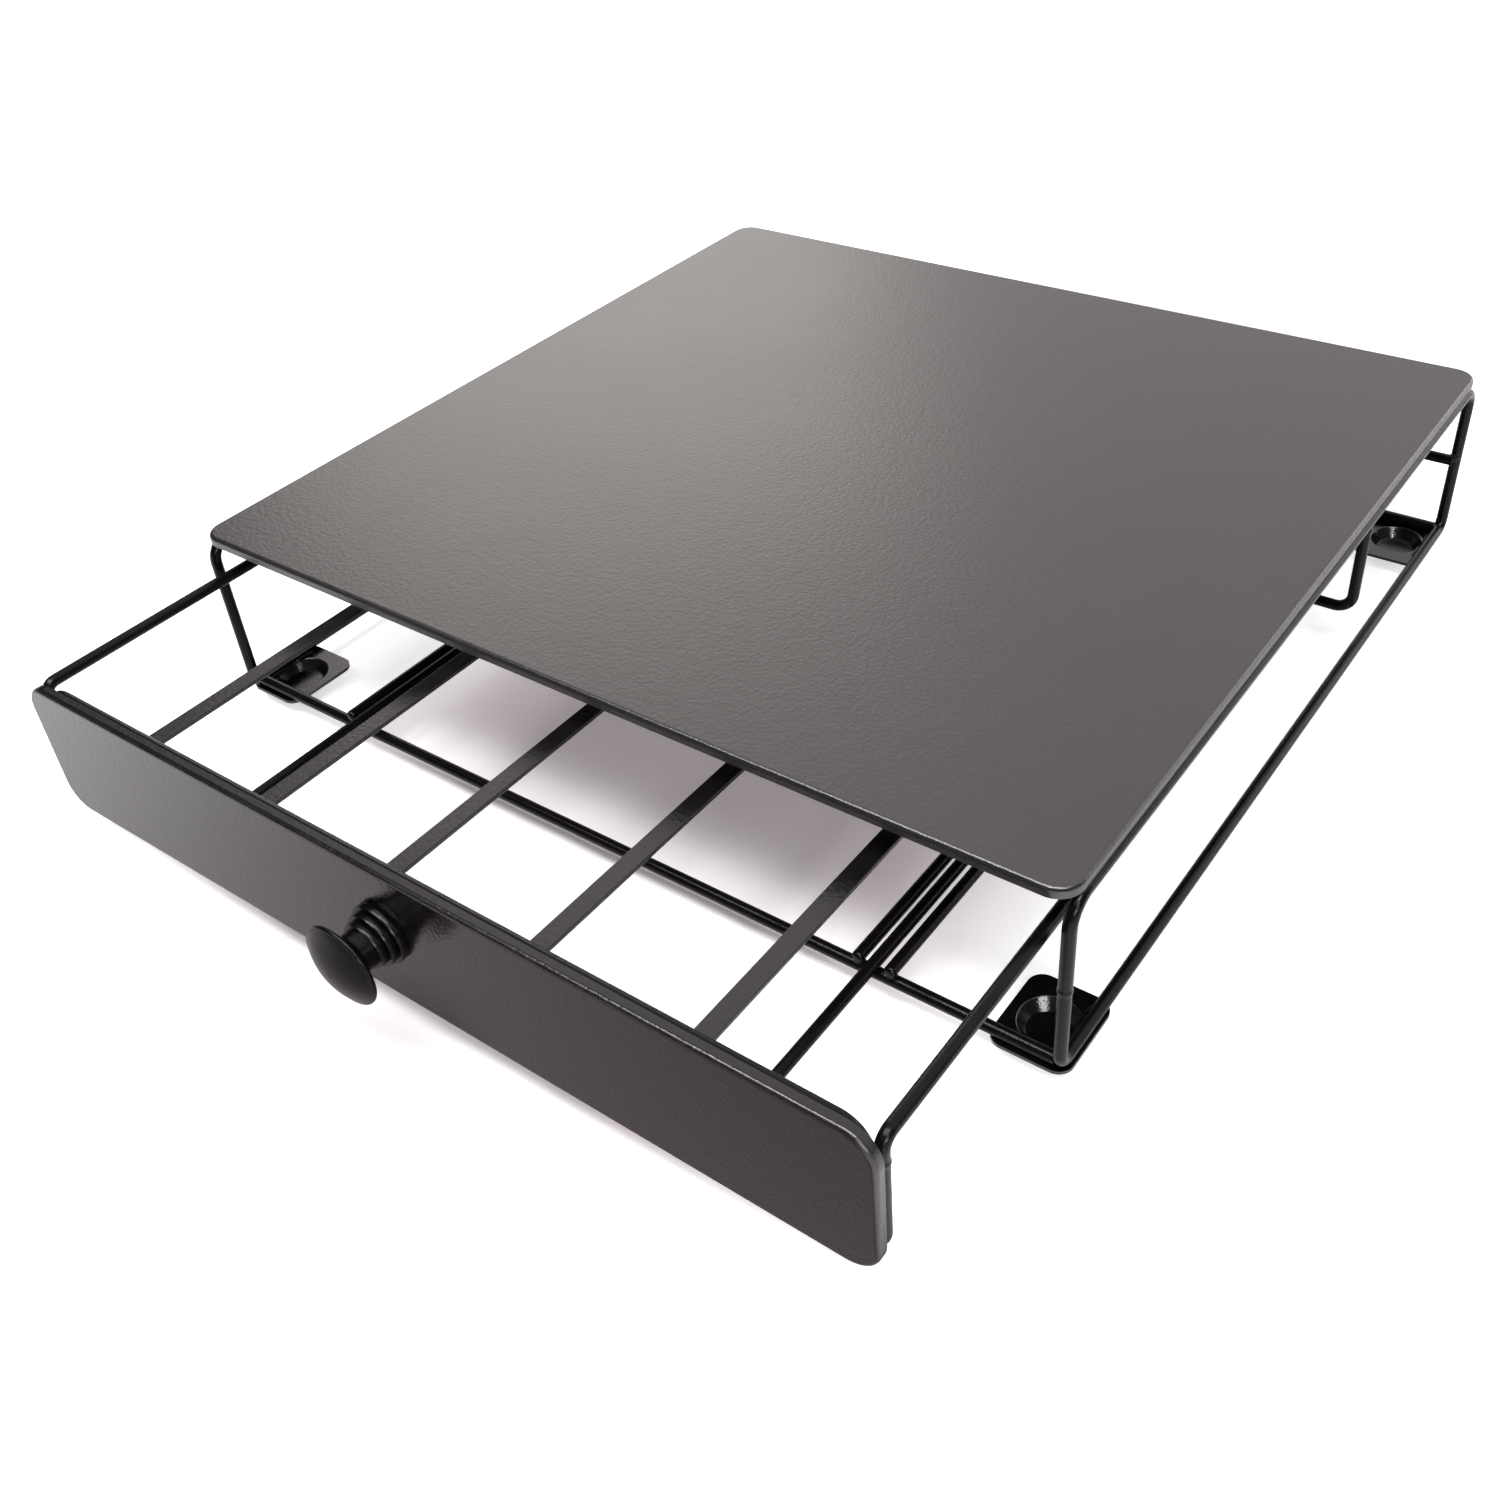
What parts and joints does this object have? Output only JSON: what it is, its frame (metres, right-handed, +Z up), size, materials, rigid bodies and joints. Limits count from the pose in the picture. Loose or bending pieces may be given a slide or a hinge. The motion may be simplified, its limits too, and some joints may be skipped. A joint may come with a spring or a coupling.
{
  "type": "coffee machine storage rack",
  "caption": "Flat sheet-metal stand on a wire frame for a coffee machine, with a sliding wire drawer below it that hangs coffee pods between flat strips.",
  "frame": {"origin": "on the worktop, under the middle of the box around the whole rack with its drawer open as pictured", "axes": "+X to the right seen from the front, +Y from the drawer's panel to the back, +Z up"},
  "size_m": [0.3432, 0.424, 0.074],
  "materials": {
    "plate_coat": "satin",
    "panel_coat": "satin",
    "wire_coat": "semi-gloss",
    "strip_coat": "satin",
    "foot_coat": "semi-gloss",
    "knob_coat": "satin",
    "screw_steel": "zinc plated",
    "pad_rubber": "matt"
  },
  "bodies": {
    "frame": {"front_base_wire": "wire_coat", "front_left_foot": "foot_coat", "front_left_pad": "pad_rubber", "front_right_foot": "foot_coat", "front_right_pad": "pad_rubber", "left_inner_runner": "wire_coat", "left_outer_runner": "wire_coat", "left_side_loop": "wire_coat", "rear_base_wire": "wire_coat", "rear_left_foot": "foot_coat", "rear_left_pad": "pad_rubber", "rear_right_foot": "foot_coat", "rear_right_pad": "pad_rubber", "rear_stop_wire": "wire_coat", "right_inner_runner": "wire_coat", "right_outer_runner": "wire_coat", "right_side_loop": "wire_coat", "top_plate": "plate_coat"},
    "drawer": {"drawer_front_frame": "wire_coat", "drawer_rear_frame": "wire_coat", "front_panel": "panel_coat", "front_top_wire": "wire_coat", "knob": "knob_coat", "knob_screw": "screw_steel", "left_bottom_wire": "wire_coat", "left_drawer_rail": "wire_coat", "rear_top_wire": "wire_coat", "right_bottom_wire": "wire_coat", "right_drawer_rail": "wire_coat", "strip_1": "strip_coat", "strip_2": "strip_coat", "strip_3": "strip_coat", "strip_4": "strip_coat", "strip_5": "strip_coat"}
  },
  "joints": [
    {"name": "drawer_slide", "type": "slide", "parent": "frame", "child": "drawer", "axis": [0, -1, 0], "range_m": [-0.0765, 0.1535]}
  ]
}
